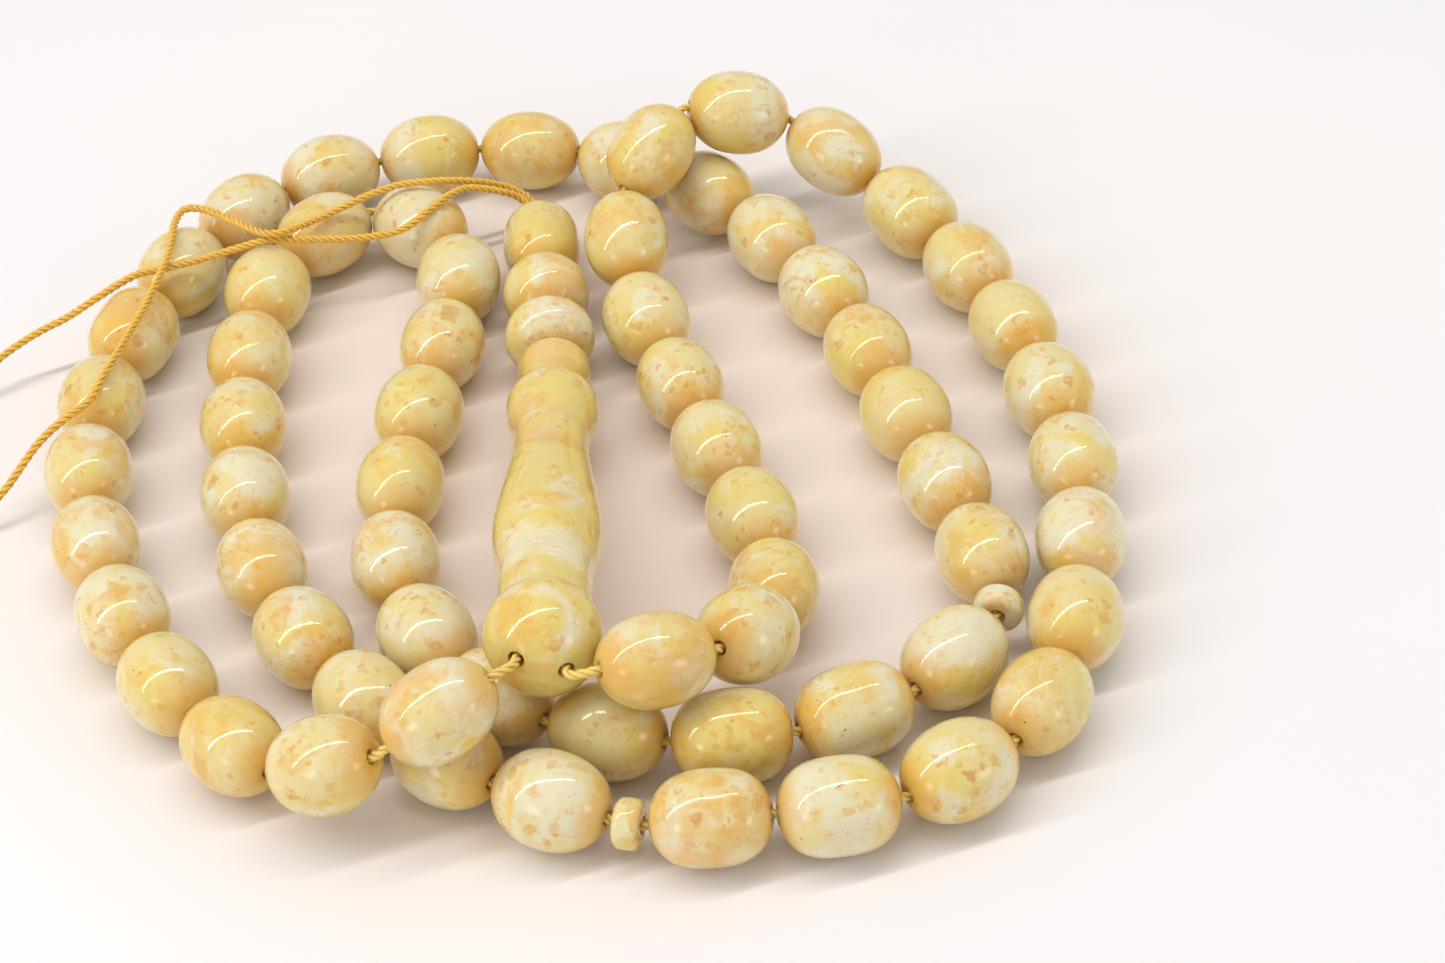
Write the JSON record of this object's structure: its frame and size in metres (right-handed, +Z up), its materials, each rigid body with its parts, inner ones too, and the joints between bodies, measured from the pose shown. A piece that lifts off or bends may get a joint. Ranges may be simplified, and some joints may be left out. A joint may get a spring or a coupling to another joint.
{
  "type": "misbaha prayer beads",
  "caption": "String of oval amber prayer beads on a twisted cord, counted off by small discs and closed by a long turned imame and end beads, lying in a doubled loop.",
  "frame": {"origin": "on the surface that the string lies on, under the middle of the string without its two cord tails", "axes": "+Z up, +Y along the imame from its ball to its tip, +X to the right of it seen from above"},
  "size_m": [0.1387, 0.1268, 0.0208],
  "materials": {
    "bead_amber": "polished",
    "imame_amber": "polished",
    "end_bead_amber": "polished",
    "disc_amber": "polished",
    "cord": "glossy twisted thread",
    "cord_knot": "glossy twisted thread"
  },
  "bodies": {
    "string": {"imame": "imame_amber", "loop_cord": "cord", "tail_cord_a": "cord", "tail_cord_b": "cord", "tail_knot_a": "cord_knot", "tail_knot_b": "cord_knot", "front_crossing_beads": "bead_amber", "back_crossing_beads": "bead_amber", "beads_under_tails": "bead_amber"},
    "end_bead_1_body": {"end_bead_1": "end_bead_amber"},
    "end_bead_2_body": {"end_bead_2": "end_bead_amber"},
    "end_bead_3_body": {"end_bead_3": "end_bead_amber"},
    "bead_01_body": {"bead_01": "bead_amber"},
    "bead_02_body": {"bead_02": "bead_amber"},
    "bead_03_body": {"bead_03": "bead_amber"},
    "bead_04_body": {"bead_04": "bead_amber"},
    "bead_05_body": {"bead_05": "bead_amber"},
    "bead_06_body": {"bead_06": "bead_amber"},
    "bead_07_body": {"bead_07": "bead_amber"},
    "bead_08_body": {"bead_08": "bead_amber"},
    "bead_09_body": {"bead_09": "bead_amber"},
    "bead_10_body": {"bead_10": "bead_amber"},
    "bead_11_body": {"bead_11": "bead_amber"},
    "bead_12_body": {"bead_12": "bead_amber"},
    "bead_13_body": {"bead_13": "bead_amber"},
    "bead_14_body": {"bead_14": "bead_amber"},
    "bead_15_body": {"bead_15": "bead_amber"},
    "bead_16_body": {"bead_16": "bead_amber"},
    "bead_17_body": {"bead_17": "bead_amber"},
    "bead_18_body": {"bead_18": "bead_amber"},
    "bead_19_body": {"bead_19": "bead_amber"},
    "bead_20_body": {"bead_20": "bead_amber"},
    "bead_21_body": {"bead_21": "bead_amber"},
    "bead_22_body": {"bead_22": "bead_amber"},
    "disc_1_body": {"disc_1": "disc_amber"},
    "bead_26_body": {"bead_26": "bead_amber"},
    "bead_27_body": {"bead_27": "bead_amber"},
    "bead_28_body": {"bead_28": "bead_amber"},
    "bead_29_body": {"bead_29": "bead_amber"},
    "bead_30_body": {"bead_30": "bead_amber"},
    "bead_35_body": {"bead_35": "bead_amber"},
    "bead_36_body": {"bead_36": "bead_amber"},
    "bead_37_body": {"bead_37": "bead_amber"},
    "bead_38_body": {"bead_38": "bead_amber"},
    "bead_44_body": {"bead_44": "bead_amber"},
    "disc_2_body": {"disc_2": "disc_amber"},
    "bead_45_body": {"bead_45": "bead_amber"},
    "bead_46_body": {"bead_46": "bead_amber"},
    "bead_47_body": {"bead_47": "bead_amber"},
    "bead_48_body": {"bead_48": "bead_amber"},
    "bead_49_body": {"bead_49": "bead_amber"},
    "bead_54_body": {"bead_54": "bead_amber"},
    "bead_55_body": {"bead_55": "bead_amber"},
    "bead_60_body": {"bead_60": "bead_amber"},
    "bead_61_body": {"bead_61": "bead_amber"},
    "bead_62_body": {"bead_62": "bead_amber"},
    "bead_63_body": {"bead_63": "bead_amber"},
    "bead_64_body": {"bead_64": "bead_amber"},
    "bead_65_body": {"bead_65": "bead_amber"},
    "bead_66_body": {"bead_66": "bead_amber"}
  },
  "joints": [
    {"name": "end_bead_1_spin", "type": "hinge", "parent": "string", "child": "end_bead_1_body", "pos_m": [-0.0022, 0.0194, 0.0053], "axis": [-0.0594, 0.9978, 0.0292], "continuous": true},
    {"name": "end_bead_2_spin", "type": "hinge", "parent": "string", "child": "end_bead_2_body", "pos_m": [-0.0025, 0.0278, 0.0051], "axis": [-0.037, 0.9986, -0.037], "continuous": true},
    {"name": "end_bead_3_spin", "type": "hinge", "parent": "string", "child": "end_bead_3_body", "pos_m": [-0.0029, 0.0383, 0.0046], "axis": [-0.038, 0.9981, -0.0475], "continuous": true},
    {"name": "bead_01_spin", "type": "hinge", "parent": "string", "child": "bead_01_body", "pos_m": [0.00793, -0.04543, 0.01438], "axis": [0.9167, 0.3373, -0.2144], "continuous": true},
    {"name": "bead_02_spin", "type": "hinge", "parent": "string", "child": "bead_02_body", "pos_m": [0.01709, -0.0383, 0.01009], "axis": [0.4985, 0.7515, -0.4321], "continuous": true},
    {"name": "bead_03_spin", "type": "hinge", "parent": "string", "child": "bead_03_body", "pos_m": [0.02035, -0.02708, 0.00587], "axis": [0.0062, 0.9792, -0.2028], "continuous": true},
    {"name": "bead_04_spin", "type": "hinge", "parent": "string", "child": "bead_04_body", "pos_m": [0.01883, -0.01471, 0.005], "axis": [-0.2382, 0.9708, 0.0273], "continuous": true},
    {"name": "bead_05_spin", "type": "hinge", "parent": "string", "child": "bead_05_body", "pos_m": [0.01565, -0.0028, 0.005], "axis": [-0.2749, 0.9615, 0], "continuous": true},
    {"name": "bead_06_spin", "type": "hinge", "parent": "string", "child": "bead_06_body", "pos_m": [0.01231, 0.00903, 0.005], "axis": [-0.2704, 0.9627, -0.0116], "continuous": true},
    {"name": "bead_07_spin", "type": "hinge", "parent": "string", "child": "bead_07_body", "pos_m": [0.00897, 0.02095, 0.00539], "axis": [-0.263, 0.9604, 0.0917], "continuous": true},
    {"name": "bead_08_spin", "type": "hinge", "parent": "string", "child": "bead_08_body", "pos_m": [0.00732, 0.03303, 0.0081], "axis": [0.0089, 0.9423, 0.3347], "continuous": true},
    {"name": "bead_09_spin", "type": "hinge", "parent": "string", "child": "bead_09_body", "pos_m": [0.01112, 0.04388, 0.01274], "axis": [0.5845, 0.7283, 0.3578], "continuous": true},
    {"name": "bead_10_spin", "type": "hinge", "parent": "string", "child": "bead_10_body", "pos_m": [0.02179, 0.04921, 0.01357], "axis": [0.9688, 0.026, -0.2463], "continuous": true},
    {"name": "bead_11_spin", "type": "hinge", "parent": "string", "child": "bead_11_body", "pos_m": [0.03278, 0.04579, 0.00905], "axis": [0.7369, -0.5255, -0.4252], "continuous": true},
    {"name": "bead_12_spin", "type": "hinge", "parent": "string", "child": "bead_12_body", "pos_m": [0.04098, 0.03707, 0.00552], "axis": [0.5289, -0.8401, -0.1209], "continuous": true},
    {"name": "bead_13_spin", "type": "hinge", "parent": "string", "child": "bead_13_body", "pos_m": [0.04651, 0.02592, 0.005], "axis": [0.3564, -0.9343, 0.0115], "continuous": true},
    {"name": "bead_14_spin", "type": "hinge", "parent": "string", "child": "bead_14_body", "pos_m": [0.05029, 0.01412, 0.005], "axis": [0.2524, -0.9676, 0.0056], "continuous": true},
    {"name": "bead_15_spin", "type": "hinge", "parent": "string", "child": "bead_15_body", "pos_m": [0.05278, 0.00198, 0.005], "axis": [0.1474, -0.9891, 0], "continuous": true},
    {"name": "bead_16_spin", "type": "hinge", "parent": "string", "child": "bead_16_body", "pos_m": [0.05372, -0.0104, 0.005], "axis": [0.003, -1, 0], "continuous": true},
    {"name": "bead_17_spin", "type": "hinge", "parent": "string", "child": "bead_17_body", "pos_m": [0.05286, -0.02279, 0.005], "axis": [-0.1408, -0.99, 0], "continuous": true},
    {"name": "bead_18_spin", "type": "hinge", "parent": "string", "child": "bead_18_body", "pos_m": [0.05054, -0.03495, 0.005], "axis": [-0.2339, -0.9723, 0], "continuous": true},
    {"name": "bead_19_spin", "type": "hinge", "parent": "string", "child": "bead_19_body", "pos_m": [0.04562, -0.04643, 0.005], "axis": [-0.5503, -0.835, 0], "continuous": true},
    {"name": "bead_20_spin", "type": "hinge", "parent": "string", "child": "bead_20_body", "pos_m": [0.03642, -0.05485, 0.005], "axis": [-0.884, -0.4675, 0], "continuous": true},
    {"name": "bead_21_spin", "type": "hinge", "parent": "string", "child": "bead_21_body", "pos_m": [0.02439, -0.05826, 0.00502], "axis": [-0.997, -0.0777, 0.0036], "continuous": true},
    {"name": "bead_22_spin", "type": "hinge", "parent": "string", "child": "bead_22_body", "pos_m": [0.01196, -0.05829, 0.005], "axis": [-0.9953, 0.0721, -0.0639], "continuous": true},
    {"name": "disc_1_spin", "type": "hinge", "parent": "string", "child": "disc_1_body", "pos_m": [0.00397, -0.05733, 0.00427], "axis": [-0.9626, 0.269, 0.0316], "continuous": true},
    {"name": "bead_26_spin", "type": "hinge", "parent": "string", "child": "bead_26_body", "pos_m": [-0.02871, -0.02727, 0.005], "axis": [-0.4963, 0.8681, 0], "continuous": true},
    {"name": "bead_27_spin", "type": "hinge", "parent": "string", "child": "bead_27_body", "pos_m": [-0.03359, -0.0158, 0.005], "axis": [-0.279, 0.9603, 0], "continuous": true},
    {"name": "bead_28_spin", "type": "hinge", "parent": "string", "child": "bead_28_body", "pos_m": [-0.03601, -0.0036, 0.005], "axis": [-0.1102, 0.9939, 0], "continuous": true},
    {"name": "bead_29_spin", "type": "hinge", "parent": "string", "child": "bead_29_body", "pos_m": [-0.03689, 0.00874, 0.005], "axis": [-0.0329, 0.9995, 0], "continuous": true},
    {"name": "bead_30_spin", "type": "hinge", "parent": "string", "child": "bead_30_body", "pos_m": [-0.03678, 0.02111, 0.005], "axis": [0.0512, 0.9987, 0], "continuous": true},
    {"name": "bead_35_spin", "type": "hinge", "parent": "string", "child": "bead_35_body", "pos_m": [-0.01455, 0.02005, 0.005], "axis": [-0.232, -0.9727, 0], "continuous": true},
    {"name": "bead_36_spin", "type": "hinge", "parent": "string", "child": "bead_36_body", "pos_m": [-0.01707, 0.00797, 0.005], "axis": [-0.1753, -0.9845, 0], "continuous": true},
    {"name": "bead_37_spin", "type": "hinge", "parent": "string", "child": "bead_37_body", "pos_m": [-0.01896, -0.00422, 0.005], "axis": [-0.1307, -0.9914, 0], "continuous": true},
    {"name": "bead_38_spin", "type": "hinge", "parent": "string", "child": "bead_38_body", "pos_m": [-0.01932, -0.01666, 0.005], "axis": [0.0765, -0.9971, 0], "continuous": true},
    {"name": "bead_44_spin", "type": "hinge", "parent": "string", "child": "bead_44_body", "pos_m": [0.03772, -0.03901, 0.005], "axis": [0.7263, 0.6874, 0], "continuous": true},
    {"name": "disc_2_spin", "type": "hinge", "parent": "string", "child": "disc_2_body", "pos_m": [0.04298, -0.0323, 0.005], "axis": [0.2622, 0.965, 0], "continuous": true},
    {"name": "bead_45_spin", "type": "hinge", "parent": "string", "child": "bead_45_body", "pos_m": [0.04231, -0.02386, 0.005], "axis": [-0.1856, 0.9826, 0], "continuous": true},
    {"name": "bead_46_spin", "type": "hinge", "parent": "string", "child": "bead_46_body", "pos_m": [0.0397, -0.0118, 0.005], "axis": [-0.237, 0.9715, 0], "continuous": true},
    {"name": "bead_47_spin", "type": "hinge", "parent": "string", "child": "bead_47_body", "pos_m": [0.03674, 0.00013, 0.005], "axis": [-0.2445, 0.9697, 0], "continuous": true},
    {"name": "bead_48_spin", "type": "hinge", "parent": "string", "child": "bead_48_body", "pos_m": [0.0336, 0.01203, 0.005], "axis": [-0.2667, 0.9638, 0], "continuous": true},
    {"name": "bead_49_spin", "type": "hinge", "parent": "string", "child": "bead_49_body", "pos_m": [0.02959, 0.02376, 0.005], "axis": [-0.3796, 0.9252, 0], "continuous": true},
    {"name": "bead_54_spin", "type": "hinge", "parent": "string", "child": "bead_54_body", "pos_m": [-0.01633, 0.05864, 0.005], "axis": [-0.9977, -0.0672, 0], "continuous": true},
    {"name": "bead_55_spin", "type": "hinge", "parent": "string", "child": "bead_55_body", "pos_m": [-0.02856, 0.0562, 0.005], "axis": [-0.9472, -0.3207, 0], "continuous": true},
    {"name": "bead_60_spin", "type": "hinge", "parent": "string", "child": "bead_60_body", "pos_m": [-0.0537, 0.00275, 0.005], "axis": [0.0663, -0.9978, 0], "continuous": true},
    {"name": "bead_61_spin", "type": "hinge", "parent": "string", "child": "bead_61_body", "pos_m": [-0.0518, -0.00954, 0.005], "axis": [0.2358, -0.9718, 0], "continuous": true},
    {"name": "bead_62_spin", "type": "hinge", "parent": "string", "child": "bead_62_body", "pos_m": [-0.04798, -0.02136, 0.005], "axis": [0.3781, -0.9258, -0.0044], "continuous": true},
    {"name": "bead_63_spin", "type": "hinge", "parent": "string", "child": "bead_63_body", "pos_m": [-0.04244, -0.03248, 0.005], "axis": [0.5122, -0.8588, -0.013], "continuous": true},
    {"name": "bead_64_spin", "type": "hinge", "parent": "string", "child": "bead_64_body", "pos_m": [-0.03516, -0.04256, 0.00518], "axis": [0.6543, -0.7534, 0.0655], "continuous": true},
    {"name": "bead_65_spin", "type": "hinge", "parent": "string", "child": "bead_65_body", "pos_m": [-0.02533, -0.04955, 0.00818], "axis": [0.8548, -0.3192, 0.4091], "continuous": true},
    {"name": "bead_66_spin", "type": "hinge", "parent": "string", "child": "bead_66_body", "pos_m": [-0.01323, -0.05027, 0.01468], "axis": [0.8708, 0.2429, 0.4274], "continuous": true}
  ]
}
